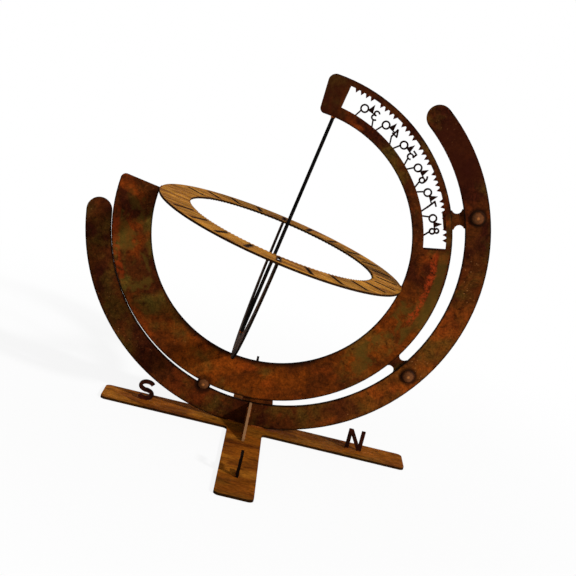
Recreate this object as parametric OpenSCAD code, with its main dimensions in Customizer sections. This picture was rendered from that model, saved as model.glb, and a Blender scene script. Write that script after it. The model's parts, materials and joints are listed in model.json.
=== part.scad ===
// Garden armillary sundial cut from weathering steel sheet.
// North is +X, west is +Y, and the ground is z = 0 under the crescent's centre.
// Everything on the latitude plate turns about an east-west line through the ring's centre.

/* [Latitude plate] */
// Latitude that the dial is set to at rest, in degrees
latitude = 81; // [74:0.5:84]
// Radius of the plate's round opening
hole_r = 150; // [146:1:156]
// Width of the plate between its round opening and its outer edge
plate_w = 46; // [38:0.5:56]
// Thickness of the plate's sheet
plate_t = 2.4; // [2:0.1:2.8]
// Angle by which the plate runs past the north pole
pole_overrun = 6.5; // [5:0.5:9]
// Corner radius at the outer corner of the north end
north_corner_r = 9; // [6:0.5:11]
// Corner radius at the other rounded corners
small_corner_r = 6; // [4:0.5:8]

/* [Latitude scale] */
// Width of the band that is left inside the scale window
inner_band = 13; // [10:0.5:15]
// Width of the band that is left outside the window, where the teeth stand
outer_band = 7; // [6:0.5:9]
// Latitude at the window's upper end
window_from = 19.6; // [19:0.1:20.6]
// Latitude at the window's lower end
window_to = 89; // [87.5:0.5:90]
// Width of a tooth at its root
tooth_w = 4.4; // [3.4:0.1:5]
// Height of a tooth
tooth_h = 4.2; // [3:0.1:5]
// Width of the strokes of the numerals
numeral_stroke = 1.9; // [1.6:0.1:2.2]
// Distance from a pointer's line to the middle of a numeral
numeral_side = 7.4; // [7:0.1:7.8]
// Gap between the circle of the teeth's tips and a pointer's tip
pointer_gap = 0.4; // [0:0.1:1.5]
// Width of a pointer at its root
pointer_w = 6.6; // [5.4:0.1:7.2]

/* [Ring, hoop and rod] */
// Thickness of the ring's and the hoop's sheet
ring_t = 2.4; // [2:0.1:3]
// Width of the hour ring's band
ring_w = 36.9; // [32:0.1:42]
// Depth of the fine notches in the ring's inner edge
notch_h = 2.6; // [1.5:0.1:3]
// Distance of an hour slot from the ring's edges
slot_margin = 7; // [6:0.5:9]
// Width of an hour slot
slot_w = 3; // [2:0.1:3.5]
// Width of the half hoop's band
hoop_w = 28; // [22:1:32]
// Diameter of the rod that casts the shadow
rod_d = 4.2; // [3:0.1:6]

/* [Crescent] */
// Gap between the plate and the crescent where it is middling, north and south of the foot
rim_gap = 7.5; // [6.5:0.1:8.5]
// Gap between them on the south horizon
south_gap = 1; // [0.8:0.1:1.6]
// Gap between them at the foot
foot_gap = 5; // [4.4:0.1:5.6]
// Width of the crescent's band
crescent_w = 29.5; // [24:0.5:36]
// Thickness of the crescent's sheet
crescent_t = 3; // [3:0.1:4]
// Angle of the crescent's upper end above the north horizon
crescent_top = 52.5; // [50:0.5:58]
// Angle of the crescent's south end, counted clockwise from the north horizon
crescent_end = 174.5; // [170:0.5:180]
// Length of the tongue that goes through the base
tongue_l = 24; // [18:1:28]

/* [Clamps and bolts] */
// Angle of the index tab above the north horizon
index_angle = 20; // [18:0.5:21]
// Angle of the lower tab above the north horizon
lower_angle = -34; // [-40:1:-28]
// Angle of the keeper plate above the north horizon
keeper_angle = -84.5; // [-86:0.5:-84]
// Width of the keeper plate along the rim
keeper_w = 36; // [30:1:36]
// Angle of the pinch bolt above the north horizon
pinch_angle = -104; // [-110:1:-102]
// Width of a tab at its waist
tab_w = 13; // [11:0.5:14]
// Width of a tab at its two ends
tab_end_w = 22; // [20:0.5:24]
// Thickness of the tabs and the keeper
tab_t = 3; // [2.5:0.1:4]
// Diameter of the index bolt's head
index_head_d = 18; // [16:0.5:20]
// Diameter of the lower bolt's head
lower_head_d = 16; // [14:0.5:18]
// Diameter of the pinch bolt's head
pinch_head_d = 12.5; // [11:0.5:14]
// Diameter of the index and lower bolts' shanks
bolt_d = 6; // [5:0.5:7]
// Diameter of the pinch bolt's shank
pinch_d = 4; // [3.5:0.5:5]

/* [Base] */
// Thickness of the base's sheet
base_t = 3; // [2.5:0.1:4]
// Width of the north-south bar
bar_w = 45; // [38:1:50]
// How far the bar's north end stays inside the crescent's outer edge
north_inset = 33.5; // [20:0.5:50]
// How far the bar's south end stays inside the crescent's outer edge
south_inset = 64.5; // [45:0.5:80]
// Width of the east-west arms
arm_w = 42; // [36:1:48]
// How much shorter an east or west arm is than the crescent's outer radius
arm_inset = 18; // [5:1:25]
// Distance of the crossing north of the crescent's centre
crossing_dx = 5.5; // [4:0.5:7]
// Corner radius of the bars' ends
end_r = 6; // [4:0.5:10]
// Radius in the inner corners of the cross
inner_r = 5; // [3:0.5:8]
// Thickness of the gussets and letters
gusset_t = 3; // [2.5:0.1:4]
// Length of a gusset's foot
gusset_l = 57; // [45:1:65]
// How far the east gusset's top stays below the width of the crescent's band
east_gusset_drop = 1.5; // [0.5:0.5:5]
// How far the west gusset's does, which ends under the keeper
west_gusset_drop = 9.5; // [8.5:0.5:15]

/* [Letters] */
// Height of a letter
letter_h = 25; // [20:1:28]
// Width of the letters' strokes
letter_stroke = 4.6; // [3.6:0.1:5.5]
// Height between the crescent and the top of a letter N or S set as near the foot as it can go
letter_gap = 0.5; // [0.2:0.1:2]
// How far beyond that place the letter N stands
letter_n_beyond = 19; // [0:1:30]
// How far beyond that place the letter S stands
letter_s_beyond = 0.5; // [0:0.5:10]
// Distance of the letter E's middle from the east arm's end
letter_e_in = 58; // [20:1:70]
// Distance of the letter W's middle from the west arm's end
letter_w_in = 20; // [17:1:60]

/* [Hidden] */
$fn = 96;

// Clearances: face to face or shank in hole, pieces that only touch, and cuts past a face
fit = 0.15;
weld_gap = 0.1;
past = 1;
// A rounding circle crosses its edges by this much, so that it cuts them cleanly
hair = 0.03;

// Radii and places that follow
plate_r = hole_r + plate_w;
window_in_r = hole_r + inner_band;
window_out_r = plate_r - outer_band;
crescent_in_r = plate_r + rim_gap;
crescent_r = crescent_in_r + crescent_w;
crescent_dx = rim_gap - south_gap;
crescent_dz = rim_gap - foot_gap;
north_l = crescent_r - north_inset - crossing_dx;
south_l = crescent_r - south_inset + crossing_dx;
arm_l = crescent_r - arm_inset;
east_gusset_h = crescent_w - east_gusset_drop;
west_gusset_h = crescent_w - west_gusset_drop;

// The figures are drawn for a window 26 high, and grow with it
window_h = window_out_r - window_in_r;
figure_size = window_h / 26;
numeral_r = window_in_r + 12 * figure_size;
pointer_r = window_out_r - tooth_h - pointer_gap;

// Heights that follow
sink = crescent_r - sqrt(pow(crescent_r, 2) - pow(tongue_l, 2));
axis_h = base_t + crescent_r - crescent_dz - sink;
clear_x = sqrt(pow(crescent_r, 2) - pow(crescent_r - sink - letter_h - letter_gap, 2));
front = -crescent_t / 2;
back = crescent_t / 2;
crescent_mid = (crescent_in_r + crescent_r) / 2;
// Latitudes are read at the index tab's lower edge
scale_zero = index_angle - asin(tab_w / 2 / plate_r);
scale_step = 10;
decades = [30:scale_step:80];
ring_r = hole_r - weld_gap;
ring_in_r = ring_r - ring_w;
hoop_in_r = ring_r - hoop_w;
washer_t = 1.6;
pad = 10;
pinch_r = plate_r + 0.4 + pinch_d / 2;

// Colours of the finishes
rust_dark = [0.27, 0.14, 0.07];
rust_mid = [0.38, 0.2, 0.09];
rust_gold = [0.62, 0.39, 0.15];
rod_black = [0.07, 0.06, 0.05];
bolt_brown = [0.42, 0.33, 0.26];

// Distance from the ring's centre to the crescent's edge of radius r, in direction e
function crescent_at(r, e) =
    let(along = crescent_dx * cos(e) + crescent_dz * sin(e))
    along + sqrt(pow(r, 2) - pow(crescent_dx, 2) - pow(crescent_dz, 2) + pow(along, 2));

// Direction above the north horizon of a place on the plate, counted clockwise from the pole
function up(from_pole) = latitude - from_pole;

// Points along part of an ellipse
function arc(c, rx, ry, from, to, n = 10) =
    [for (i = [0:n]) let(a = from + (to - from) * i / n) [c[0] + rx * cos(a), c[1] + ry * sin(a)]];

// Point i of line p, moved sideways
function beside(p, i, shift) =
    let(d = p[min(i + 1, len(p) - 1)] - p[max(i - 1, 0)])
    p[i] + shift * [-d[1], d[0]] / norm(d);

// Band of width w along a line
module stroke(p, w) {
    right = [for (i = [0:len(p) - 1]) beside(p, i, -w / 2)];
    left = [for (i = [len(p) - 1:-1:0]) beside(p, i, w / 2)];
    polygon(concat(right, left));
}

// Closed oval band
module oval(c, rx, ry, w) {
    difference() {
        polygon(arc(c, rx + w / 2, ry + w / 2, 0, 345, 23));
        polygon(arc(c, rx - w / 2, ry - w / 2, 0, 345, 23));
    }
}

// Sector of the plane between two directions less than 180 degrees apart
module wedge(from, to, r) {
    polygon(concat([[0, 0]], arc([0, 0], r, r, from, to, 6)));
}

// Flat sheet standing in the meridian plane, drawn from the ring's centre as seen from the east
module standing(t, y = 0) {
    translate([-crescent_dx, y, axis_h])
        rotate([90, 0, 0])
            linear_extrude(height = t, center = true)
                children();
}

// Sheet standing across the meridian, drawn with west to the right
module across(t, x) {
    translate([x, 0, base_t])
        rotate([90, 0, 90])
            linear_extrude(height = t, center = true)
                children();
}

// Frame whose z axis is the polar axis and whose x axis is the noon side
module polar_frame() {
    translate([-crescent_dx, 0, axis_h])
        rotate([0, 90 - latitude, 0])
            children();
}

// What is taken off a sheet's corner, where a radial end along x meets an edge of radius r
module corner_cut(r, corner_r, side) {
    inset = corner_r - hair;
    cx = sqrt(pow(r - side * inset, 2) - pow(inset, 2));
    c = [cx, inset];
    difference() {
        polygon([c, [cx, -past], [r + side * 2 * past, -past], c * (r + side * past) / (r - side * inset)]);
        translate(c) circle(corner_r);
    }
}

// Digits about their middle, mirrored, because the scale reads from the west
module digit(n, w, k) {
    if (n == 3) {
        stroke(arc(k * [0, 2.6], k * 2.9, k * 2.6, 20, 285), w);
        stroke(arc(k * [0, -2.6], k * 3.2, k * 2.8, 75, 340), w);
    }
    if (n == 4) {
        stroke(k * [[-1.6, 5.6], [3.4, -1.6]], w);
        stroke(k * [[4, -1.6], [-3.8, -1.6]], w);
        stroke(k * [[-1.4, 5.8], [-1.4, -5.6]], w);
    }
    if (n == 5) {
        stroke(k * [[3, 4.8], [-3, 4.8]], w);
        stroke(k * [[2.3, 5.4], [2.6, -0.6]], w);
        stroke(arc(k * [0, -1.9], k * 3.2, k * 3.2, 30, 330, 12), w);
    }
    if (n == 6) {
        oval(k * [0, -2.3], k * 3, k * 2.9, w);
        stroke(arc(k * [-3.1, -2.3], k * 6.1, k * 7.6, 0, 75), w);
    }
    if (n == 7) {
        stroke(k * [[3.4, 4.8], [-3.4, 4.8]], w);
        stroke(k * [[-2.8, 5.4], [1.6, -5.6]], w);
    }
    if (n == 8) {
        oval(k * [0, 2.7], k * 2.5, k * 2.3, w);
        oval(k * [0, -2.5], k * 3, k * 2.9, w);
    }
}

// One figure of the scale with its pointer, its middle at x = 0 and outwards along y
module figure(n) {
    k = figure_size;
    tie_w = 1.6;
    splay = 4.4 * k;
    side = numeral_side * k;
    zero_r = 4.2 * k;
    zero_at = [-side, numeral_r - 0.6 * k];
    bar_y = numeral_r - 0.4 * k;
    foot = window_in_r - 2 * past;
    digit_foot = k * (n == 4 ? -1.4 : n == 7 ? 1.4 : 0);
    oval(zero_at, zero_r, zero_r, numeral_stroke);
    translate([side, numeral_r]) digit(n, numeral_stroke, k);
    stroke([[-side - splay, foot], zero_at - zero_r * [0.5, 0.85]], tie_w);
    stroke([[side + digit_foot, numeral_r - 5.2 * k], [side + splay, foot]], tie_w);
    translate([-side + zero_r, bar_y]) square([2 * side - zero_r - 1.8 * k, tie_w]);
    polygon([[-pointer_w / 2, bar_y + 0.6], [pointer_w / 2, bar_y + 0.6], [0, pointer_r]]);
}

// Window of the latitude scale, without what stands in it
module scale_window() {
    intersection() {
        difference() {
            circle(window_out_r);
            circle(window_in_r);
        }
        wedge(up(window_from - scale_zero), up(window_to - scale_zero), plate_r * 1.2);
    }
}

// Teeth every two degrees, with none at the tens, where the pointers aim
module scale_teeth() {
    for (reading = [22:2:86])
        if (reading % scale_step != 0)
            rotate(up(reading - scale_zero) - 90)
                polygon([
                    [-tooth_w / 2, window_out_r + past], [-tooth_w / 2, window_out_r - 0.2],
                    [0, window_out_r - tooth_h], [tooth_w / 2, window_out_r - 0.2],
                    [tooth_w / 2, window_out_r + past]
                ]);
}

module latitude_plate() {
    color(rust_dark) standing(plate_t) {
        difference() {
            circle(plate_r);
            circle(hole_r);
            wedge(up(-pole_overrun), up(-90), plate_r * 1.3);
            rotate(up(-pole_overrun)) mirror([0, 1]) corner_cut(plate_r, north_corner_r, 1);
            rotate(up(-pole_overrun)) mirror([0, 1]) corner_cut(hole_r, small_corner_r, -1);
            rotate(up(-90)) corner_cut(plate_r, small_corner_r, 1);
            scale_window();
        }
        scale_teeth();
        for (n = decades)
            rotate(up(n - scale_zero) - 90) figure(n / scale_step);
    }
}

module hour_ring() {
    notch_step = 2.5;
    notched_to = 150;
    hour = 15;
    late = 10;
    slot_l = ring_r - ring_in_r - 2 * slot_margin;
    notch_tip = ring_in_r - 0.2;
    notch_root = ring_in_r + notch_h;
    notches = [for (a = [-notched_to:notch_step:notched_to - notch_step], half = [0, 1])
        let(r = half == 0 ? notch_tip : notch_root)
        r * [cos(a + half * notch_step / 2), sin(a + half * notch_step / 2)]];
    color(rust_gold) polar_frame()
        linear_extrude(height = ring_t, center = true)
            difference() {
                circle(ring_r);
                circle(ring_in_r);
                polygon(concat([[0, 0]], notches));
                for (h = [-late:late])
                    rotate(h * hour)
                        translate([ring_in_r + slot_margin, -slot_w / 2])
                            square([slot_l, slot_w]);
            }
}

module half_hoop() {
    color(rust_mid) polar_frame()
        rotate([90, 0, 90])
            linear_extrude(height = ring_t, center = true)
                difference() {
                    circle(ring_r);
                    circle(hoop_in_r);
                    translate([-2 * ring_r, -ring_t / 2]) square([4 * ring_r, 2 * ring_r]);
                }
}

module gnomon_rod() {
    low = -hoop_in_r + weld_gap;
    color(rod_black) polar_frame()
        translate([0, 0, low])
            cylinder(h = hole_r - weld_gap - low, d = rod_d);
}

module meridian_crescent() {
    round_end = (crescent_r - crescent_in_r) / 2 - weld_gap;
    color(rust_dark) standing(crescent_t)
        difference() {
            union() {
                translate([crescent_dx, crescent_dz])
                    difference() {
                        circle(crescent_r);
                        circle(crescent_in_r);
                        wedge(crescent_top, (crescent_top + 360 - crescent_end) / 2, crescent_r * 1.5);
                        wedge((crescent_top + 360 - crescent_end) / 2, 360 - crescent_end, crescent_r * 1.5);
                    }
                translate([crescent_dx, crescent_dz])
                    for (e = [crescent_top, -crescent_end])
                        rotate(e) translate([crescent_mid, 0]) circle(round_end);
                translate([crescent_dx - tongue_l / 2, -axis_h])
                    square([tongue_l, crescent_t + base_t]);
            }
            difference() {
                translate([crescent_dx - tongue_l * 2, -axis_h - past])
                    square([tongue_l * 4, base_t + past]);
                translate([crescent_dx - tongue_l / 2, -axis_h])
                    square([tongue_l, base_t]);
            }
            for (e = [index_angle, lower_angle])
                rotate(e) translate([crescent_at(crescent_mid, e), 0]) circle(bolt_d / 2 + fit);
            rotate(pinch_angle) translate([pinch_r, 0]) circle(pinch_d / 2 + fit);
        }
}

// Tab behind both sheets: a pad behind the plate's rim, a waist in the gap and a pad at the bolt
module tab(e) {
    bolt_r = crescent_at(crescent_mid, e);
    rim_r = crescent_at(crescent_in_r, e);
    waist_r = (tab_end_w - tab_w) / 2 + 1.5;
    color(rust_mid) standing(tab_t, back + tab_t / 2)
        rotate(e)
            difference() {
                union() {
                    translate([plate_r - pad, -tab_end_w / 2]) square([bolt_r - plate_r + pad, tab_end_w]);
                    translate([bolt_r, 0]) circle(tab_end_w / 2);
                }
                for (side = [-1, 1])
                    translate([(plate_r + rim_r) / 2, side * (tab_w / 2 + waist_r)]) circle(waist_r);
                translate([bolt_r, 0]) circle(bolt_d / 2 + fit);
            }
}

module index_tab() tab(index_angle);
module lower_tab() tab(lower_angle);

// Plate behind the rims at the foot, which keeps the latitude plate from tipping back
module keeper_plate() {
    half = keeper_w / 2 / plate_r * 180 / PI;
    hold = 5;
    color(rust_dark) standing(tab_t, back + tab_t / 2)
        intersection() {
            difference() {
                circle(crescent_at(crescent_in_r, keeper_angle) + hold);
                circle(plate_r - pad);
            }
            wedge(keeper_angle - half, keeper_angle + half, crescent_r);
        }
}

// Dome-headed bolt lying along y with its head to the east, through pieces that end at y = far
module bolt(e, r, head_d, shank_d, far) {
    head_h = head_d * 0.3;
    dome_r = (pow(head_d / 2, 2) + pow(head_h, 2)) / (2 * head_h);
    tail = 2;
    color(bolt_brown) translate([-crescent_dx, front, axis_h])
        rotate([0, -e, 0])
            translate([r, 0, 0])
                rotate([90, 0, 0]) {
                    intersection() {
                        translate([0, 0, head_h - dome_r]) sphere(dome_r);
                        cylinder(h = head_h * 2, d = head_d);
                    }
                    translate([0, 0, front - far - tail])
                        cylinder(h = far + tail - front + head_h / 2, d = shank_d);
                }
}

// Washer or nut on a bolt, from y = near to y = near + t
module on_bolt(e, r, near, t, outer_d, hole_d, sides) {
    color(bolt_brown) translate([-crescent_dx, near + t, axis_h])
        rotate([0, -e, 0])
            translate([r, 0, 0])
                rotate([90, 0, 0])
                    difference() {
                        cylinder(h = t, d = outer_d, $fn = sides);
                        translate([0, 0, -past]) cylinder(h = t + 2 * past, d = hole_d);
                    }
}

// Index and lower bolts go through the crescent, the tab, a washer and a nut
tab_back = back + tab_t;
big_washer_d = bolt_d * 2.1;
big_nut_d = bolt_d * 1.8;
big_nut_t = bolt_d * 0.8;
pinch_washer_d = pinch_head_d * 1.3;
pinch_nut_d = pinch_d * 2;
pinch_nut_t = pinch_d * 0.8;

module tab_bolt(e, head_d)
    bolt(e, crescent_at(crescent_mid, e), head_d, bolt_d, tab_back + washer_t + big_nut_t);
module tab_washer(e)
    on_bolt(e, crescent_at(crescent_mid, e), tab_back, washer_t, big_washer_d, bolt_d + 2 * fit, 64);
module tab_nut(e)
    on_bolt(e, crescent_at(crescent_mid, e), tab_back + washer_t, big_nut_t, big_nut_d, bolt_d + fit, 6);

module index_bolt() tab_bolt(index_angle, index_head_d);
module lower_bolt() tab_bolt(lower_angle, lower_head_d);
module index_washer() tab_washer(index_angle);
module lower_washer() tab_washer(lower_angle);
module index_nut() tab_nut(index_angle);
module lower_nut() tab_nut(lower_angle);

// The pinch bolt stands in the gap and its head and washer reach over both rims
module pinch_bolt()
    bolt(pinch_angle, pinch_r, pinch_head_d, pinch_d, back + washer_t + pinch_nut_t);
module pinch_washer()
    on_bolt(pinch_angle, pinch_r, back, washer_t, pinch_washer_d, pinch_d + 2 * fit, 64);
module pinch_nut()
    on_bolt(pinch_angle, pinch_r, back + washer_t, pinch_nut_t, pinch_nut_d, pinch_d + fit, 6);

// Bar from x = a to x = b with rounded corners
module bar(a, b, w, r) {
    translate([a + r, -w / 2]) square([b - a - 2 * r, w]);
    translate([a, -w / 2 + r]) square([b - a, w - 2 * r]);
    for (x = [a + r, b - r], y = [-w / 2 + r, w / 2 - r])
        translate([x, y]) circle(r);
}

module base_cross() {
    color(rust_gold) linear_extrude(height = base_t)
        difference() {
            translate([crossing_dx, 0]) {
                bar(-south_l, north_l, bar_w, end_r);
                rotate(90) bar(-arm_l, arm_l, arm_w, end_r);
                for (sx = [-1, 1], sy = [-1, 1])
                    scale([sx, sy])
                        translate([arm_w / 2 - past, bar_w / 2 - past])
                            difference() {
                                square(inner_r + past);
                                translate([inner_r + past, inner_r + past]) circle(inner_r);
                            }
            }
            translate([-tongue_l / 2 - fit, front - fit])
                square([tongue_l + 2 * fit, crescent_t + 2 * fit]);
        }
}

// Upright triangle from the crescent's face out along an arm
module gusset(side, h) {
    nose = 3;
    color(rust_mid) across(gusset_t, crossing_dx)
        polygon([
            [side * back, 0], [side * (back + gusset_l), 0], [side * (back + gusset_l), nose],
            [side * (back + nose), h], [side * back, h]
        ]);
}

module gusset_east() gusset(-1, east_gusset_h);
module gusset_west() gusset(1, west_gusset_h);

// Letters stand on the base, drawn from the middle of their foot
letter_half = letter_h * 0.4;

module letter_n_shape() {
    h = letter_h;
    s = letter_stroke;
    for (x = [-letter_half, letter_half - s])
        translate([x, 0]) square([s, h]);
    polygon([[-letter_half, h], [letter_half - s * 1.15, 0], [letter_half, 0], [-letter_half + s * 1.15, h]]);
}

module letter_s_shape() {
    s = letter_stroke;
    bowl = (letter_h - s) / 4;
    wide = letter_half - s / 2;
    stroke(arc([0, letter_h - s / 2 - bowl], wide, bowl, 25, 285, 16), s);
    stroke(arc([0, s / 2 + bowl], wide, bowl, 105, -155, 16), s);
}

module letter_e_shape() {
    s = letter_stroke;
    translate([-letter_half, 0]) square([s, letter_h]);
    for (z = [0, (letter_h - s) / 2, letter_h - s])
        translate([-letter_half, z]) square([2 * letter_half * 0.85, s]);
}

module letter_w_shape() {
    s = letter_stroke;
    wide = letter_half * 1.1;
    stroke([[-wide, letter_h], [-wide / 2, 0]], s);
    stroke([[-wide / 2, 0], [0, letter_h]], s);
    stroke([[0, letter_h], [wide / 2, 0]], s);
    stroke([[wide / 2, 0], [wide, letter_h]], s);
}

module letter_north()
    color(rust_dark) translate([clear_x + letter_half + letter_n_beyond, 0, base_t])
        rotate([90, 0, 0]) linear_extrude(height = gusset_t, center = true) letter_n_shape();
module letter_south()
    color(rust_dark) translate([-clear_x - letter_half - letter_s_beyond, 0, base_t])
        rotate([90, 0, 0]) linear_extrude(height = gusset_t, center = true) letter_s_shape();
module letter_east()
    color(rust_dark) across(gusset_t, crossing_dx) translate([letter_e_in - arm_l, 0]) letter_e_shape();
module letter_west()
    color(rust_dark) across(gusset_t, crossing_dx)
        translate([arm_l - letter_w_in, 0])
            intersection() {
                letter_w_shape();
                translate([-letter_h, 0]) square([2 * letter_h, letter_h]);
            }

base_cross();
meridian_crescent();
gusset_east();
gusset_west();
letter_north();
letter_east();
letter_south();
letter_west();
latitude_plate();
hour_ring();
half_hoop();
gnomon_rod();
index_tab();
lower_tab();
keeper_plate();
index_bolt();
lower_bolt();
pinch_bolt();
index_washer();
lower_washer();
pinch_washer();
index_nut();
lower_nut();
pinch_nut();
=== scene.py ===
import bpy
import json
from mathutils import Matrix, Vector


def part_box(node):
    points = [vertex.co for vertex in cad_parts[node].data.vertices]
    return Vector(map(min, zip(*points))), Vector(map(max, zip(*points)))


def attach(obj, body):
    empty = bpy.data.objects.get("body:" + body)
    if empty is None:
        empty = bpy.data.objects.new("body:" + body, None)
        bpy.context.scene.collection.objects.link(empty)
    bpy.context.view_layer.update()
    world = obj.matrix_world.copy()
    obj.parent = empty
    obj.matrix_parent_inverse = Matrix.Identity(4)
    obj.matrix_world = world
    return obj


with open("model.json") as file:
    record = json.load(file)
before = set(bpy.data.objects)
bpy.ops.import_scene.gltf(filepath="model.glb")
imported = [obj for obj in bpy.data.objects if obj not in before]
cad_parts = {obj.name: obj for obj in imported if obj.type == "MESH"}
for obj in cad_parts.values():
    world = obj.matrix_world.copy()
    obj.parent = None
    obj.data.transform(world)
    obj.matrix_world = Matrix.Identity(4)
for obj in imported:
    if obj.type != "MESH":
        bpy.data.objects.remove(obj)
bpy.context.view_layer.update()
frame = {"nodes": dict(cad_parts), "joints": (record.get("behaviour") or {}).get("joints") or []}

import json
import math

import bpy
from mathutils import Matrix, Vector, noise

MM = 0.001

# Directions and sizes that the looks are built round, in metres, in the part's own frame
AXIS = Vector(frame["joints"][0]["pos_m"])
LATITUDE = math.radians(81)
POLE = Vector((math.cos(LATITUDE), 0, math.sin(LATITUDE)))
NOON = Vector((math.sin(LATITUDE), 0, -math.cos(LATITUDE)))
EAST_WEST = Vector((0, 1, 0))
UP = Vector((0, 0, 1))
NORTH = Vector((1, 0, 0))
HOLE_R = 150 * MM
PLATE_R = 196 * MM
WINDOW_IN_R = 163 * MM
WINDOW_OUT_R = 189 * MM
RING_IN_R = 113 * MM
RING_R = 149.9 * MM
HOUR = math.radians(15)
CRESCENT_CENTRE = AXIS + Vector((6.5, 0, 2.5)) * MM
CRESCENT_IN_R = 203.5 * MM
CRESCENT_R = 233 * MM

# Sectors of a round sheet: middle, half width and fade, in degrees counted up from the north
PLATE_FOOT = (-72, 42, 38)
PLATE_SOUTH = (200, 14, 16)
PLATE_POLE_END = (83, 6, 8)
PLATE_SHADE = (-92, 26, 22)
PLATE_BY_RING = (-30, 12, 14)
PLATE_SOUTH_EDGE = (196, 7, 9)
PLATE_BY_SCALE = (-6, 10, 7)
SCALE_WINDOW = (44.1, 34.5, 0.3)
CRESCENT_LIT = (-38, 16, 22)
CRESCENT_NORTH_END = (40, 7, 5)
CRESCENT_SOUTH_END = (176, 6, 6)

# Bands across a round sheet: from one radius to another and the fade at each, in metres
PLATE_MIDDLE = (0.160, 0.184, 0.006)
PLATE_INSIDE = (0.1495, 0.1515, 0.006)
PLATE_OUTSIDE = (0.1885, 0.1935, 0.003)
STREAK_OUTSIDE = (0.184, 0.192, 0.003)
WINDOW_BAND = (WINDOW_IN_R + 0.0006, WINDOW_OUT_R - 0.0004, 0.0004)
TEETH_BAND = (0.1822, WINDOW_OUT_R - 0.0004, 0.0008)
HOUR_SLOT_BAND = (0.1195, 0.1435, 0.002)

# Round a bolt's middle: where a head's pale painted lit disc lies, and between which radii the painted
# highlight, the painted shade at the head's rim and the painted shade round the head change
HEAD_LIT_DISC_BAND = (0.0024, 0.0052, 0.0008)
HEAD_HIGHLIGHT_FADE = (0.0024, 0.0008)
HEAD_RIM_SHADE_FADE = (0.0058, 0.0078)
BOLT_SHADE_FADE = (0.0135, 0.0085)

# Burnt slots: the fade aside from an hour's line, in metres, and past the last slot, in hours
SLOT_FADE = (0.0042, 0.0024)
LAST_SLOT_FADE = (10.6, 10.3)

# The red streak by the scale: its radius, its half width to its core, and how far it wanders
STREAK_R = 0.1785
STREAK_REACH = 0.0052
STREAK_CORE = 0.0008
STREAK_WANDER = 0.012

# Dark rims of the sheets, their uneven line, and the depth of the rust's relief, in metres
SHEET_RIM = 0.0023
RING_RIM = 0.0014
RIM_WAVER = 0.0016
RELIEF = 0.0006

# How fine the rust's patterns are, in turns per metre
MOTTLE_SCALE = 150
GRAIN_SCALE = 480
SPOT_SCALE = 260
SPOT_AREA_SCALE = 26
SPOT_PICK_SCALE = 420
RIM_SCALE = 120

# Shifts that keep the patches of one rust off those of another
WARM_SHIFT = (0.37, 0.11, 0.73)
MOSS_SHIFT = (0.71, 0.53, 0.19)
SPOT_SHIFT = (0.05, 0.91, 0.33)


def paint(red, green, blue):
    """A colour as seen, 0 to 255, in the linear numbers that a shader takes."""
    def linear(level):
        level /= 255
        return level / 12.92 if level <= 0.04045 else ((level + 0.055) / 1.055) ** 2.4
    return (linear(red), linear(green), linear(blue), 1.0)


# Colours of the rust, and of the painted shade and painted highlights laid over it, from dark to light
BLACK = paint(8, 4, 2)
WINDOW_WALL = paint(16, 5, 3)
HEAD_RIM_SHADE = paint(18, 7, 3)
RING_WALL = paint(24, 10, 4)
BURNT = paint(34, 15, 6)
CAP_MAROON = paint(44, 12, 4)
MAROON = paint(44, 13, 4)
TOOTH_RED = paint(52, 13, 4)
RING_EDGE = paint(60, 30, 12)
LIT_GROUND = paint(62, 26, 6)
BROWN = paint(62, 27, 5)
WARM_GROUND = paint(66, 27, 4)
OLIVE = paint(72, 56, 16)
LIT_BODY = paint(92, 47, 9)
DULL_ORANGE = paint(96, 38, 7)
HEAD_LIT_DISC = paint(98, 60, 32)
WARM_BROWN = paint(102, 45, 5)
UMBER = paint(108, 62, 20)
ORANGE = paint(124, 50, 8)
EDGE_ORANGE = paint(128, 44, 10)
GUSSET_EDGE_HIGHLIGHT = paint(134, 98, 66)
SPECK = paint(136, 88, 48)
HEAD_HIGHLIGHT = paint(150, 92, 46)
RED_RUST = paint(158, 54, 18)
GOLD = paint(160, 106, 38)
HONEY = paint(192, 130, 46)


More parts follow.
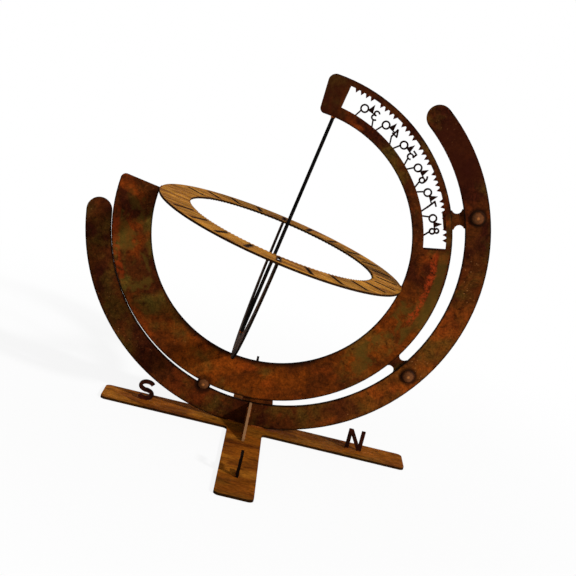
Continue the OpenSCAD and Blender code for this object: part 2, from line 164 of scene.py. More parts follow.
class Net:
    """A node tree, with short calls for the nodes that the rust is made of."""

    def __init__(self, tree):
        self.tree = tree

    def node(self, kind, **settings):
        """A new node with its settings."""
        made = self.tree.nodes.new(kind)
        for name, value in settings.items():
            setattr(made, name, value)
        return made

    def feed(self, socket, value):
        """Links a socket to another one, or sets its value."""
        if isinstance(value, bpy.types.NodeSocket):
            self.tree.links.new(value, socket)
        else:
            socket.default_value = value

    def math(self, operation, a, b=0.0):
        """One sum on one or two numbers."""
        made = self.node("ShaderNodeMath", operation=operation)
        self.feed(made.inputs[0], a)
        self.feed(made.inputs[1], b)
        return made.outputs[0]

    def product(self, first, *others):
        """Two or more numbers multiplied."""
        made = first
        for other in others:
            made = self.math("MULTIPLY", made, other)
        return made

    def vector(self, operation, a, b=(0, 0, 0)):
        """One sum on one or two vectors."""
        made = self.node("ShaderNodeVectorMath", operation=operation)
        self.feed(made.inputs[0], a)
        self.feed(made.inputs[1], b)
        return made.outputs["Value" if operation in ("LENGTH", "DOT_PRODUCT") else "Vector"]

    def scaled(self, vector, factor):
        """A vector made longer or shorter."""
        made = self.node("ShaderNodeVectorMath", operation="SCALE")
        self.feed(made.inputs[0], vector)
        self.feed(made.inputs["Scale"], factor)
        return made.outputs["Vector"]

    def mix(self, factor, a, b, blend="MIX"):
        """Colour a, with colour b over it by the factor."""
        made = self.node("ShaderNodeMix", data_type="RGBA", blend_type=blend)
        self.feed(made.inputs[0], factor)
        self.feed(made.inputs[6], a)
        self.feed(made.inputs[7], b)
        return made.outputs[2]

    def noise(self, vector, scale, detail=3.0, rough=0.55, distortion=0.0):
        """Cloudy noise from 0 to 1, mostly near a half."""
        made = self.node("ShaderNodeTexNoise")
        self.feed(made.inputs["Vector"], vector)
        self.feed(made.inputs["Scale"], scale)
        made.inputs["Detail"].default_value = detail
        made.inputs["Roughness"].default_value = rough
        made.inputs["Distortion"].default_value = distortion
        return made.outputs["Fac"]

    def step(self, value, low, high, to_low=0.0, to_high=1.0):
        """Smooth change from to_low, where value is at most low, to to_high."""
        made = self.node("ShaderNodeMapRange", interpolation_type="SMOOTHSTEP")
        for socket, given in zip(made.inputs, (value, low, high, to_low, to_high)):
            self.feed(socket, given)
        return made.outputs["Result"]


def new_group(name, inputs, outputs):
    """An empty node group, its net, and its two ends."""
    group = bpy.data.node_groups.new(name, "ShaderNodeTree")
    for label, kind, value in inputs:
        socket = group.interface.new_socket(name=label, in_out="INPUT", socket_type=kind)
        if value is not None:
            socket.default_value = value
    for label, kind in outputs:
        group.interface.new_socket(name=label, in_out="OUTPUT", socket_type=kind)
    net = Net(group)
    return group, net, net.node("NodeGroupInput").outputs, net.node("NodeGroupOutput").inputs


def make_rust():
    """Weathering steel: broad patches of four rusts, mottling, grain, relief and pale specks."""
    colour, number, vector = "NodeSocketColor", "NodeSocketFloat", "NodeSocketVector"
    group, net, given, out = new_group(
        "weathering_steel",
        [("Vector", vector, None), ("Ground", colour, MAROON), ("Body", colour, BROWN),
         ("Warm", colour, ORANGE), ("Moss", colour, OLIVE), ("Warmth", number, 0.5),
         ("Mossiness", number, 0.5), ("Specks", number, 0.5), ("Patch scale", number, 22.0)],
        [("Color", colour), ("Roughness", number), ("Height", number)])
    place = given["Vector"]
    patch_scale = given["Patch scale"]

    # Patches: the body over the ground, then warm rust, then moss
    patch = net.noise(place, patch_scale, 4, 0.6, 0.4)
    warm_patch = net.noise(net.vector("ADD", place, WARM_SHIFT), patch_scale, 3, 0.55, 0.6)
    moss_patch = net.noise(net.vector("ADD", place, MOSS_SHIFT), patch_scale, 4, 0.6, 0.3)
    body = net.mix(net.step(patch, 0.36, 0.60), given["Ground"], given["Body"])
    body = net.mix(net.product(net.step(warm_patch, 0.50, 0.66), given["Warmth"]), body, given["Warm"])
    body = net.mix(net.product(net.step(moss_patch, 0.50, 0.68), given["Mossiness"]), body, given["Moss"])

    # Mottling and grain: dark blotches, and lighter and darker tones
    mottle = net.noise(place, MOTTLE_SCALE, 5, 0.65, 0.5)
    grain = net.noise(place, GRAIN_SCALE, 4, 0.65)
    body = net.mix(net.step(mottle, 0.40, 0.28), body, given["Ground"])
    tone = net.product(net.step(mottle, 0.3, 0.7, 0.68, 1.34), net.step(grain, 0.3, 0.7, 0.70, 1.32))
    body = net.mix(1.0, body, net.scaled((1, 1, 1), tone), "MULTIPLY")

    # Pale specks, in some areas only and not in every cell
    spots = net.node("ShaderNodeTexVoronoi", feature="F1")
    net.feed(spots.inputs["Vector"], place)
    spots.inputs["Scale"].default_value = SPOT_SCALE
    area = net.noise(net.vector("ADD", place, SPOT_SHIFT), SPOT_AREA_SCALE, 3, 0.5)
    picked = net.noise(place, SPOT_PICK_SCALE, 2, 0.5)
    speck = net.product(net.step(spots.outputs["Distance"], 0.26, 0.12), net.step(area, 0.50, 0.62),
                        net.step(picked, 0.47, 0.56), given["Specks"])

    net.feed(out["Color"], net.mix(speck, body, SPECK))
    net.feed(out["Roughness"], net.step(mottle, 0.3, 0.7, 0.86, 0.62))
    net.feed(out["Height"], net.math("ADD", net.product(mottle, 0.7), net.product(grain, 0.45)))
    return group


def make_round_sheet():
    """Where a point lies on a round sheet: how near its two edges, its radius and its direction."""
    number, vector = "NodeSocketFloat", "NodeSocketVector"
    group, net, given, out = new_group(
        "round_sheet",
        [("Vector", vector, None), ("Centre", vector, (0, 0, 0)), ("Axis", vector, (0, 1, 0)),
         ("Inner", number, 0.1), ("Outer", number, 0.2), ("Width", number, 0.002)],
        [("Mask", number), ("Radius", number), ("Direction", vector)])
    arm = net.vector("SUBTRACT", given["Vector"], given["Centre"])
    along = net.vector("DOT_PRODUCT", arm, given["Axis"])
    across = net.vector("SUBTRACT", arm, net.scaled(given["Axis"], along))
    radius = net.vector("LENGTH", across)
    uneven = net.math("SUBTRACT", net.noise(given["Vector"], RIM_SCALE, 2), 0.5)
    wavering = net.math("ADD", radius, net.product(uneven, RIM_WAVER))
    masks = []
    for edge in ("Inner", "Outer"):
        gap = net.math("ABSOLUTE", net.math("SUBTRACT", wavering, given[edge]))
        masks.append(net.step(gap, given["Width"], 0.0))
    net.feed(out["Mask"], net.math("MAXIMUM", *masks))
    net.feed(out["Radius"], radius)
    net.feed(out["Direction"], net.vector("NORMALIZE", across))
    return group


def make_cut_edge():
    """1 on the walls of a sheet that lies across the axis, 0 on its two faces."""
    number, vector = "NodeSocketFloat", "NodeSocketVector"
    group, net, given, out = new_group(
        "cut_edge", [("Normal", vector, None), ("Axis", vector, (0, 1, 0))], [("Mask", number)])
    facing = net.math("ABSOLUTE", net.vector("DOT_PRODUCT", given["Normal"], given["Axis"]))
    net.feed(out["Mask"], net.step(facing, 0.8, 0.4))
    return group


RUST = make_rust()
ROUND_SHEET = make_round_sheet()
CUT_EDGE = make_cut_edge()

# The three bolted joints, and the middles of their bolts from the solids
FASTENINGS = ("index", "lower", "pinch")
BOLT_BOXES = [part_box(f"{which}_bolt") for which in FASTENINGS]
BOLTS = [(Vector(low) + Vector(high)) / 2 for low, high in BOLT_BOXES]


class Finish:
    """One material: rust from the shared group, more colours laid over it, and dark walls."""

    def __init__(self, name, axis, rust, stretch=(1, 1, 1), wall=BLACK, wall_at=0.9):
        self.material = bpy.data.materials.new(name)
        self.material.use_nodes = True
        self.net = Net(self.material.node_tree)
        self.coords = self.net.node("ShaderNodeTexCoord").outputs
        self.place = self.coords["Object"]
        self.axis = axis
        self.wall = wall
        self.wall_at = wall_at
        self.rust = self.use(RUST, **rust)
        self.net.feed(self.rust.inputs["Vector"], self.net.vector("MULTIPLY", self.place, stretch))
        self.colour = self.rust.outputs["Color"]

    def use(self, group, **values):
        """A shared group in this material, with its own values."""
        made = self.net.node("ShaderNodeGroup", node_tree=group)
        for name, value in values.items():
            made.inputs[name.replace("_", " ")].default_value = value
        return made

    def about(self, centre, inner=0.1, outer=0.1, width=0.002):
        """Places on a round sheet about a centre. The edges matter only for the mask."""
        found = self.use(ROUND_SHEET, Centre=tuple(centre), Axis=tuple(self.axis),
                         Inner=inner, Outer=outer, Width=width)
        self.net.feed(found.inputs["Vector"], self.place)
        return found.outputs

    def lay(self, mask, colour, strength):
        """Another colour over the rust where the mask says."""
        self.colour = self.net.mix(self.net.product(mask, strength), self.colour, colour)

    def rims(self, centre, inner, outer, width, strength, colour):
        """Darkens the sheet along two round edges and gives the places on it."""
        found = self.about(centre, inner, outer, width)
        self.lay(found["Mask"], colour, strength)
        return found

    def sector(self, direction, middle, half, soft):
        """1 within so many degrees of a direction, counted up from the north, fading to 0."""
        middle, half, soft = math.radians(middle), math.radians(half), math.radians(soft)
        toward = self.net.vector("DOT_PRODUCT", direction, (math.cos(middle), 0, math.sin(middle)))
        return self.net.step(toward, math.cos(half + soft), math.cos(half))

    def band(self, value, low, high, soft):
        """1 from low to high, fading to 0 outside them."""
        rising = self.net.step(value, low - soft, low)
        falling = self.net.step(value, high + soft, high)
        return self.net.product(rising, falling)

    def vary(self, **inputs):
        """Feeds the rust group from two values and a mask between them."""
        for name, (mask, first, second) in inputs.items():
            socket = self.rust.inputs[name]
            if isinstance(first, float):
                self.net.feed(socket, self.net.step(mask, 0.0, 1.0, first, second))
            else:
                self.net.feed(socket, self.net.mix(mask, first, second))

    def bolt_reach(self):
        """Distance across the sheet from the nearest bolt's centre."""
        reach = [self.about(centre)["Radius"] for centre in BOLTS]
        return self.net.math("MINIMUM", self.net.math("MINIMUM", reach[0], reach[1]), reach[2])

    def bolt_painted_shade(self, strength):
        """Painted shade round a bolt head, where it sits on the sheet."""
        self.lay(self.net.step(self.bolt_reach(), *BOLT_SHADE_FADE), BLACK, strength)

    def finish(self, bump=0.4, shine=0.02):
        """Darkens the walls, joins everything to the shader and gives the material."""
        net = self.net
        if self.wall_at > 0:
            edge = self.use(CUT_EDGE, Axis=tuple(self.axis))
            net.feed(edge.inputs["Normal"], self.coords["Normal"])
            self.lay(edge.outputs["Mask"], self.wall, self.wall_at)
        relief = net.node("ShaderNodeBump")
        relief.inputs["Strength"].default_value = bump
        relief.inputs["Distance"].default_value = RELIEF
        net.feed(relief.inputs["Height"], self.rust.outputs["Height"])
        shader = self.material.node_tree.nodes["Principled BSDF"]
        shader.inputs["Specular IOR Level"].default_value = shine
        net.feed(shader.inputs["Base Color"], self.colour)
        net.feed(shader.inputs["Roughness"], self.rust.outputs["Roughness"])
        net.feed(shader.inputs["Normal"], relief.outputs["Normal"])
        return self.material


def plate_finish():
    """Latitude plate: dark ends, orange below, moss on the south side, a red streak by the scale, and
    painted shade along the bottom of the opening and round the bolt heads.
    """
    look = Finish("plate_rust", EAST_WEST,
                  dict(Warm=ORANGE, Warmth=0.55, Specks=0.25, Patch_scale=20.0))
    net = look.net
    found = look.rims(AXIS, HOLE_R, PLATE_R, SHEET_RIM, 0.95, BLACK)
    radius, direction = found["Radius"], found["Direction"]

    # Broad tones
    below = look.sector(direction, *PLATE_FOOT)
    south = look.sector(direction, *PLATE_SOUTH)
    look.vary(Body=(below, BROWN, WARM_BROWN), Ground=(below, MAROON, WARM_GROUND),
              Mossiness=(south, 0.6, 1.1))
    look.lay(look.sector(direction, *PLATE_POLE_END), MAROON, 0.6)
    # Painted shade: a black band along the inner edge at the bottom of the opening
    painted_shade = net.product(look.band(radius, *PLATE_INSIDE), look.sector(direction, *PLATE_SHADE))
    look.lay(painted_shade, BLACK, 0.8)

    # Moss along the middle, and a warm edge on the south side
    mossy = net.step(net.noise(look.place, 46, 4, 0.6, 0.5), 0.47, 0.60)
    middle = look.band(radius, *PLATE_MIDDLE)
    look.lay(net.product(south, mossy, middle), OLIVE, 0.6)
    look.lay(net.product(look.sector(direction, *PLATE_BY_RING), mossy, middle), OLIVE, 0.65)
    ragged = net.step(net.noise(look.place, 160, 3), 0.36, 0.60)
    edge = look.sector(direction, *PLATE_SOUTH_EDGE)
    look.lay(net.product(edge, look.band(radius, *PLATE_OUTSIDE), ragged), EDGE_ORANGE, 0.6)

    # The figures and the teeth in the window
    in_window = net.product(look.band(radius, *WINDOW_BAND), look.sector(direction, *SCALE_WINDOW))
    look.lay(in_window, WINDOW_WALL, 0.92)
    look.lay(net.product(look.band(radius, *TEETH_BAND), in_window), TOOTH_RED, 0.8)

    # The red streak below the scale, with moss outside it
    by_scale = look.sector(direction, *PLATE_BY_SCALE)
    uneven = net.math("SUBTRACT", net.noise(look.place, 70, 3), 0.5)
    from_line = net.math("SUBTRACT", radius, STREAK_R)
    off_line = net.math("ADD", from_line, net.product(uneven, STREAK_WANDER))
    on_line = net.step(net.math("ABSOLUTE", off_line), STREAK_REACH, STREAK_CORE)
    flaky = net.step(net.noise(look.place, 420, 4, 0.65), 0.38, 0.60)
    look.lay(net.product(by_scale, look.band(radius, *STREAK_OUTSIDE)), OLIVE, 0.55)
    look.lay(net.product(on_line, by_scale, flaky), RED_RUST, 0.65)

    # Painted shade round the bolt heads that sit on this sheet
    look.bolt_painted_shade(0.5)
    return look.finish()


def crescent_finish():
    """Meridian crescent: maroon ends, warm where it is lit, pale specks along its middle."""
    look = Finish("crescent_rust", EAST_WEST,
                  dict(Moss=paint(72, 51, 13), Warmth=0.5, Mossiness=0.6, Specks=0.8, Patch_scale=24.0))
    found = look.rims(CRESCENT_CENTRE, CRESCENT_IN_R, CRESCENT_R, SHEET_RIM, 0.95, BLACK)
    direction = found["Direction"]
    lit = look.sector(direction, *CRESCENT_LIT)
    look.vary(Body=(lit, BROWN, LIT_BODY), Warm=(lit, DULL_ORANGE, ORANGE),
              Ground=(lit, MAROON, LIT_GROUND))
    look.lay(look.sector(direction, *CRESCENT_NORTH_END), CAP_MAROON, 0.75)
    look.lay(look.sector(direction, *CRESCENT_SOUTH_END), MAROON, 0.4)
    # Painted shade round the bolt heads that sit on this sheet
    look.bolt_painted_shade(0.8)
    return look.finish()


def ring_finish():
    """Hour ring: golden sheet with rolling lines that run north to south, and burnt slots."""
    look = Finish("ring_rust", POLE,
                  dict(Ground=UMBER, Body=GOLD, Warm=HONEY, Moss=paint(136, 98, 36), Warmth=0.7,
                       Mossiness=0.6, Specks=0.1, Patch_scale=30.0),
                  stretch=(0.35, 2.4, 2.4), wall=RING_WALL, wall_at=0.95)
    net = look.net
    found = look.rims(AXIS, RING_IN_R, RING_R, RING_RIM, 0.6, RING_EDGE)
    radius = found["Radius"]

    # Hours from noon, and the distance aside from the nearest hour's line
    toward_noon = net.vector("DOT_PRODUCT", found["Direction"], tuple(NOON))
    toward_west = net.vector("DOT_PRODUCT", found["Direction"], tuple(EAST_WEST))
    hours = net.math("DIVIDE", net.math("ARCTAN2", toward_west, toward_noon), HOUR)
    off_hour = net.math("ABSOLUTE", net.math("SUBTRACT", hours, net.math("ROUND", hours)))
    aside = net.product(off_hour, HOUR, radius)

    # The slots end ten hours from noon
    slotted = net.step(net.math("ABSOLUTE", hours), *LAST_SLOT_FADE)
    burnt = net.product(net.step(aside, *SLOT_FADE), look.band(radius, *HOUR_SLOT_BAND), slotted)
    look.lay(burnt, BURNT, 0.9)
    return look.finish(bump=0.25)


def sheet_finish(name, axis, rust, bolts=False, **more):
    """A plain rusted sheet, with painted shade round the bolt heads where it is bolted."""
    look = Finish(name, axis, rust, **more)
    if bolts:
        # Painted shade round the bolt heads that sit on this sheet
        look.bolt_painted_shade(0.7)
    return look.finish()


def bolt_finish():
    """Dome heads: painted shade at the rim, a paler painted lit disc and a painted highlight in the
    middle.
    """
    look = Finish("bolt_rust", EAST_WEST,
                  dict(Ground=paint(50, 22, 9), Body=paint(82, 42, 17), Warm=paint(102, 54, 20),
                       Moss=paint(56, 38, 20), Warmth=0.5, Mossiness=0.4, Specks=0.3, Patch_scale=110.0),
                  wall_at=0.0)
    reach = look.bolt_reach()
    # Painted light on the dome heads: a lit disc, a highlight in the middle and shade at the rim
    look.lay(look.band(reach, *HEAD_LIT_DISC_BAND), HEAD_LIT_DISC, 0.5)
    look.lay(look.net.step(reach, *HEAD_HIGHLIGHT_FADE), HEAD_HIGHLIGHT, 0.85)
    look.lay(look.net.step(reach, *HEAD_RIM_SHADE_FADE), HEAD_RIM_SHADE, 0.85)
    return look.finish(shine=0.04)


def rod_finish():
    """Blackened rod with a faint brown bloom."""
    look = Finish("blackened_rod", POLE,
                  dict(Ground=paint(4, 3, 2), Body=paint(8, 6, 5), Warm=paint(26, 15, 8),
                       Moss=paint(12, 10, 8), Warmth=0.4, Mossiness=0.4, Specks=0.02, Patch_scale=60.0),
                  wall_at=0.0)
    return look.finish(bump=0.15, shine=0.03)


# The rust of the plainer sheets
BASE_LOOK = dict(Ground=paint(82, 38, 7), Body=paint(124, 66, 12), Warm=paint(152, 92, 24),
                 Moss=paint(94, 62, 16), Warmth=0.75, Mossiness=0.6, Specks=0.25, Patch_scale=18.0)
HOOP_LOOK = dict(Ground=paint(28, 14, 6), Body=paint(52, 29, 13), Warm=paint(92, 58, 30),
                 Moss=paint(40, 28, 12), Warmth=0.7, Mossiness=0.4, Specks=0.1, Patch_scale=30.0)
TAB_LOOK = dict(Ground=paint(50, 18, 5), Body=paint(64, 28, 6), Warm=paint(90, 42, 9),
                Moss=OLIVE, Warmth=0.6, Mossiness=0.4, Specks=0.2, Patch_scale=40.0)
GUSSET_LOOK = dict(TAB_LOOK, Ground=paint(60, 28, 8), Body=paint(92, 46, 12), Warm=paint(124, 66, 20))
LETTER_LOOK = dict(Ground=paint(22, 7, 3), Body=paint(38, 12, 5), Warm=paint(62, 20, 7),
                   Moss=paint(34, 16, 6), Warmth=0.5, Mossiness=0.2, Specks=0.1, Patch_scale=60.0)
WELD_LOOK = dict(Ground=paint(56, 22, 8), Body=paint(104, 50, 16), Warm=paint(150, 76, 26),
                 Moss=UMBER, Warmth=0.8, Mossiness=0.3, Specks=0.6, Patch_scale=140.0)

FINISHES = {
    "latitude_plate": plate_finish(),
    "meridian_crescent": crescent_finish(),
    "hour_ring": ring_finish(),
    "half_hoop": sheet_finish("hoop_rust", NOON, HOOP_LOOK),
    "base_cross": sheet_finish("base_rust", UP, BASE_LOOK, stretch=(0.55, 1.2, 1.2)),
    "tabs": sheet_finish("tab_rust", EAST_WEST, TAB_LOOK, bolts=True),
    # The gussets' cut walls are painted pale: a painted highlight where their sloped edges catch the
    # light
    "gussets": sheet_finish("gusset_rust", NORTH, GUSSET_LOOK, wall=GUSSET_EDGE_HIGHLIGHT, wall_at=0.85),
    "letters_ns": sheet_finish("letter_rust", EAST_WEST, LETTER_LOOK),
    "letters_ew": sheet_finish("side_letter_rust", NORTH, LETTER_LOOK),
    "bolts": bolt_finish(),
    "welds": sheet_finish("weld_rust", UP, WELD_LOOK, wall_at=0.0),
    "gnomon_rod": rod_finish(),
}

# CAD pieces that share a finish. The others have one under their own name.
DRESSED_AS = {
    "tabs": ["index_tab", "lower_tab", "keeper_plate"],
    "gussets": ["gusset_east", "gusset_west"],
    "letters_ns": ["letter_north", "letter_south"],
    "letters_ew": ["letter_east", "letter_west"],
    "bolts": [f"{which}_{kind}" for which in FASTENINGS for kind in ("bolt", "washer", "nut")],
    "welds": [],
}


def dress(piece, material):
    """Gives a piece one material in place of those it has."""
    piece.data.materials.clear()
    piece.data.materials.append(material)


for look, material in FINISHES.items():
    for name in DRESSED_AS.get(look, [look]):
        dress(frame["nodes"][name], material)


# Welds, and the threads that stand out behind the nuts
def own_piece(name, body, look):
    """Names the active object, dresses it and lets it ride on its body."""
    piece = bpy.context.object
    piece.name = name
    dress(piece, FINISHES[look])
    for face in piece.data.polygons:
        face.use_smooth = True
    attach(piece, body)


# Radii of the beads in metres, by joint
BEAD = 0.0011
TACK = 0.0009
HOOP_BEAD = 0.0008
ROD_FOOT_BEAD = 0.0010

# How a bead is rippled: ripple length, mesh step and unevenness as shares of its radius
RIPPLE = 0.85
MESH_STEP = 0.16
UNEVENNESS = 0.22
UNEVEN_SCALE = 420
WANDER_SHIFTS = (Vector((9.3, -1.5, -7.9)), Vector((0, 0, 0)), Vector((2.6, 5.3, 1.7)))


def wander(place):
    """An uneven shift in three directions that is the same at every run."""
    return Vector([noise.noise(place + shift) for shift in WANDER_SHIFTS])


def weld_run(start, end, radius):
    """A rippled bead with round ends along an inside corner, as a welding rod leaves it."""
    start, end = Vector(start), Vector(end)
    length = (end - start).length
    ripples = max(3, round(length / (RIPPLE * radius)))
    spacing = length / (ripples - 1)
    rings = round((length + 2 * radius) / (MESH_STEP * radius))
    bpy.ops.object.select_all(action="DESELECT")
    bpy.ops.mesh.primitive_uv_sphere_add(segments=16, ring_count=rings, radius=1, location=(0, 0, 0))
    bead = bpy.context.object
    lie = (end - start).to_track_quat("Z", "Y")
    for point in bead.data.vertices:
        share = math.acos(max(-1, min(1, -point.co.z))) / math.pi
        along = share * (length + 2 * radius) - radius
        nearest = spacing * max(0, min(ripples - 1, round(along / spacing)))
        girth = math.sqrt(max(0, radius ** 2 - (along - nearest) ** 2))
        around = Vector((point.co.x, point.co.y, 0)).normalized()
        place = start + lie @ (girth * around + Vector((0, 0, along)))
        point.co = place + UNEVENNESS * radius * wander(place * UNEVEN_SCALE)
    return bead


def weld(name, body, radius, *runs):
    """One piece for all the beads of a joint."""
    beads = [weld_run(start, end, radius) for start, end in runs]
    bpy.ops.object.select_all(action="DESELECT")
    for bead in beads:
        bead.select_set(True)
    bpy.context.view_layer.objects.active = beads[0]
    bpy.ops.object.join()
    own_piece(name, body, "welds")


# The base's top, the crescent's west face and the middle of the gussets
GROUND_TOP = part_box("base_cross")[1][2]
SHEET_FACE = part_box("meridian_crescent")[1][1]
CROSSING = (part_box("gusset_east")[0][0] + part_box("gusset_east")[1][0]) / 2

# Beads along a gusset's foot, from and to, and how far beads stay from its outer, lower and upper ends
GUSSET_BEADS = ((0.006, 0.020), (0.030, 0.046))
GUSSET_END = 0.006
GUSSET_LOW = 0.003
GUSSET_HIGH = 0.007

# The crescent's bead runs between these distances from the crossing
FOOT_NEAR = 0.007
FOOT_FAR = 0.021


def weld_gusset(name, node, side):
    """Beads along a gusset's foot and up the crescent, on both of its faces."""
    low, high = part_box(node)
    far = max(abs(low[1]), abs(high[1])) - GUSSET_END
    foot = low[2] + GUSSET_LOW
    top = high[2] - GUSSET_HIGH
    runs = []
    for x in (low[0], high[0]):
        for near, out in GUSSET_BEADS:
            runs.append(((x, side * near, GROUND_TOP), (x, side * min(out, far), GROUND_TOP)))
        runs.append(((x, side * SHEET_FACE, foot), (x, side * SHEET_FACE, top)))
    weld(name, "stand", BEAD, *runs)


def weld_letter(name, node, feet):
    """Short tacks at the feet of a letter, given as shares of its width, on both of its faces."""
    low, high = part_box(node)
    thin = 0 if high[0] - low[0] < high[1] - low[1] else 1
    wide = 1 - thin
    runs = []
    for foot in feet:
        for face in (low[thin], high[thin]):
            ends = []
            for share in foot:
                place = [0, 0, GROUND_TOP]
                place[thin] = face
                place[wide] = low[wide] + share * (high[wide] - low[wide])
                ends.append(place)
            runs.append(ends)
    weld(name, "stand", TACK, *runs)


weld_gusset("weld_gusset_east", "gusset_east", -1)
weld_gusset("weld_gusset_west", "gusset_west", 1)
weld_letter("weld_letter_north", "letter_north", [(0.04, 0.18), (0.82, 0.96)])
weld_letter("weld_letter_south", "letter_south", [(0.38, 0.62)])
weld_letter("weld_letter_east", "letter_east", [(0.1, 0.4), (0.6, 0.9)])
weld_letter("weld_letter_west", "letter_west", [(0.2, 0.32), (0.68, 0.8)])

foot_runs = []
for face in (SHEET_FACE, -SHEET_FACE):
    for near, out in ((FOOT_NEAR, FOOT_FAR), (-FOOT_FAR, -FOOT_NEAR)):
        foot_runs.append(((CROSSING + near, face, GROUND_TOP), (CROSSING + out, face, GROUND_TOP)))
weld("weld_crescent_foot", "stand", BEAD, *foot_runs)


def dial_place(noon, west, pole):
    """A place on the dial, in metres along the noon line, to the west and up the polar axis."""
    return AXIS + noon * NOON + west * EAST_WEST + pole * POLE


# Places of the dial's welds, in metres from the ring's centre
HALF_SHEET = 0.0012
RING_JOINT_R = 0.1495
RING_JOINT_HALF = 0.004
HOOP_JOINT = (0.126, 0.144)
ROD_TOP = 0.1494
ROD_FOOT = -0.1216
ROD_SIDE = 0.0016
ROD_FOOT_HALF = 0.0022

for name, side in (("weld_ring_north", 1), ("weld_ring_south", -1)):
    weld(name, "dial", TACK,
         *[[dial_place(side * RING_JOINT_R, end, face) for end in (-RING_JOINT_HALF, RING_JOINT_HALF)]
           for face in (HALF_SHEET, -HALF_SHEET)])
for name, side in (("weld_hoop_east", -1), ("weld_hoop_west", 1)):
    weld(name, "dial", HOOP_BEAD,
         *[[dial_place(face, side * end, -HALF_SHEET) for end in HOOP_JOINT]
           for face in (HALF_SHEET, -HALF_SHEET)])
weld("weld_rod_top", "dial", BEAD,
     *[[dial_place(end, face, ROD_TOP) for end in (-ROD_SIDE, ROD_SIDE)]
       for face in (HALF_SHEET, -HALF_SHEET)])
weld("weld_rod_foot", "dial", ROD_FOOT_BEAD,
     *[[dial_place(face, end, ROD_FOOT) for end in (-ROD_FOOT_HALF, ROD_FOOT_HALF)]
       for face in (ROD_SIDE, -ROD_SIDE)])

# Thread turns: their spacing, their depth, and the radius of a long and of a short bolt's shank
THREAD_PITCH = 0.001
THREAD_DEPTH = 0.00022
LONG_BOLT = 0.015
THICK_SHANK = 0.003
THIN_SHANK = 0.002


def thread(which):
    """The turns of a bolt's thread between its nut and its end."""
    low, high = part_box(f"{which}_bolt")
    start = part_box(f"{which}_nut")[1][1]
    shank = THICK_SHANK if high[1] - low[1] > LONG_BOLT else THIN_SHANK
    bpy.ops.object.select_all(action="DESELECT")
    bpy.ops.mesh.primitive_torus_add(major_radius=shank, minor_radius=THREAD_DEPTH, major_segments=40,
                                     minor_segments=6, rotation=(math.pi / 2, 0, 0))
    bpy.ops.object.transform_apply(location=False, rotation=True, scale=False)
    coil = bpy.context.object
    row = coil.modifiers.new("turns", "ARRAY")
    row.count = max(1, round((high[1] - start) / THREAD_PITCH))
    row.use_relative_offset = False
    row.use_constant_offset = True
    row.constant_offset_displace = (0, THREAD_PITCH, 0)
    bpy.ops.object.modifier_apply(modifier=row.name)
    middle = Vector(((low[0] + high[0]) / 2, start + THREAD_PITCH / 2, (low[2] + high[2]) / 2))
    coil.data.transform(Matrix.Translation(middle))
    own_piece(f"{which}_bolt_thread", "stand", "bolts")


for which in FASTENINGS:
    thread(which)

# Floor, light and camera
FLOOR_SIZE = 40
FLOOR_TINT = (0.86, 0.86, 0.86, 1)
SHADOW_REACH = (0.25, 0.75)
SHADOW_LEFT = 0.87
FILL = 0.45
WHITE = (1, 1, 1, 1)


def seen_rays(net):
    """1 for the rays that show the surroundings themselves, straight, mirrored or through glass."""
    rays = net.node("ShaderNodeLightPath").outputs
    return net.math("MAXIMUM", rays["Is Camera Ray"],
                    net.math("MAXIMUM", rays["Is Glossy Ray"], rays["Is Transmission Ray"]))


def stage_finish():
    """Pale floor that is white far from the dial and keeps a faint shadow near it."""
    material = bpy.data.materials.new("studio_floor")
    material.use_nodes = True
    net = Net(material.node_tree)
    nodes = material.node_tree.nodes
    shader = nodes["Principled BSDF"]
    shader.inputs["Base Color"].default_value = FLOOR_TINT
    shader.inputs["Roughness"].default_value = 0.9
    glow = net.node("ShaderNodeEmission")
    glow.inputs["Color"].default_value = WHITE
    glow.inputs["Strength"].default_value = 1.0
    away = net.vector("LENGTH", net.node("ShaderNodeTexCoord").outputs["Object"])
    share = net.step(away, *SHADOW_REACH, SHADOW_LEFT, 1.0)
    blend = net.node("ShaderNodeMixShader")
    net.feed(blend.inputs[0], net.product(seen_rays(net), share))
    net.feed(blend.inputs[1], shader.outputs[0])
    net.feed(blend.inputs[2], glow.outputs[0])
    net.feed(nodes["Material Output"].inputs["Surface"], blend.outputs[0])
    return material


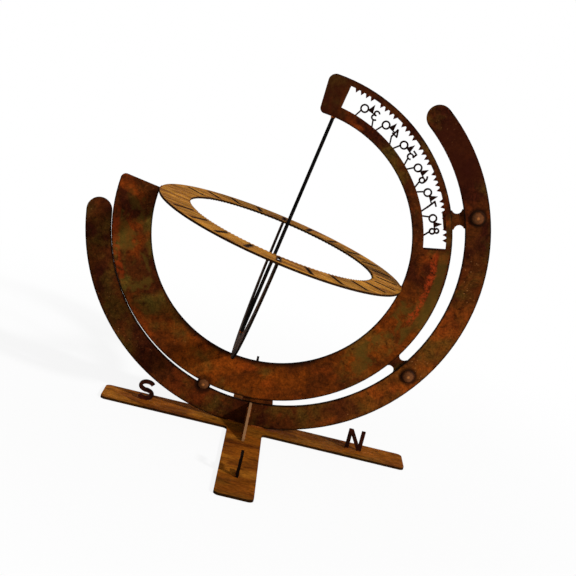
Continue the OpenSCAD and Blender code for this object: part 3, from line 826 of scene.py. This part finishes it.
bpy.ops.object.select_all(action="DESELECT")
bpy.ops.mesh.primitive_plane_add(size=FLOOR_SIZE, location=(0, 0, 0))
floor = bpy.context.object
floor.name = "studio_floor"
dress(floor, stage_finish())


def make_world(fill):
    """White where it is seen, and a plain grey fill light otherwise."""
    world = bpy.context.scene.world or bpy.data.worlds.new("studio")
    bpy.context.scene.world = world
    world.use_nodes = True
    net = Net(world.node_tree)
    background = world.node_tree.nodes["Background"]
    background.inputs["Color"].default_value = WHITE
    net.feed(background.inputs["Strength"],
             net.math("ADD", fill, net.product(seen_rays(net), 1 - fill)))


def add_sun(name, strength, spread, travels):
    """A sun lamp of a width in degrees, whose light travels in the given direction."""
    light = bpy.data.lights.new(name, "SUN")
    light.energy = strength
    light.angle = math.radians(spread)
    lamp = bpy.data.objects.new(name, light)
    lamp.rotation_mode = "QUATERNION"
    lamp.rotation_quaternion = Vector(travels).to_track_quat("-Z", "Y")
    bpy.context.scene.collection.objects.link(lamp)


make_world(FILL)
add_sun("key_light", strength=3.4, spread=5, travels=(-0.78, 0.52, -0.50))

# The camera stands east of the dial, a little above it and leaning, as the photograph was taken
AIM = Vector((0.0148, 0.0, 0.1769))
TURN = math.radians(-2.0)
RISE = math.radians(12.5)
DISTANCE = 1.28
LEAN = math.radians(-14.2)
LENS = 68.85
SENSOR = 36
TOWARD_EYE = Vector((math.sin(TURN) * math.cos(RISE), -math.cos(TURN) * math.cos(RISE), math.sin(RISE)))
EYE = AIM + DISTANCE * TOWARD_EYE


def add_camera(eye, aim, lean, lens):
    """The scene's camera, looking from the eye at the aim and turned about that line."""
    camera = bpy.data.objects.new("camera", bpy.data.cameras.new("camera"))
    camera.data.sensor_width = SENSOR
    camera.data.lens = lens
    camera.rotation_mode = "QUATERNION"
    turn = (aim - eye).to_track_quat("-Z", "Y").to_matrix() @ Matrix.Rotation(-lean, 3, "Z")
    camera.rotation_quaternion = turn.to_quaternion()
    camera.location = eye
    bpy.context.scene.collection.objects.link(camera)
    bpy.context.scene.camera = camera


add_camera(EYE, AIM, LEAN, LENS)
bpy.context.scene.view_settings.view_transform = "Standard"
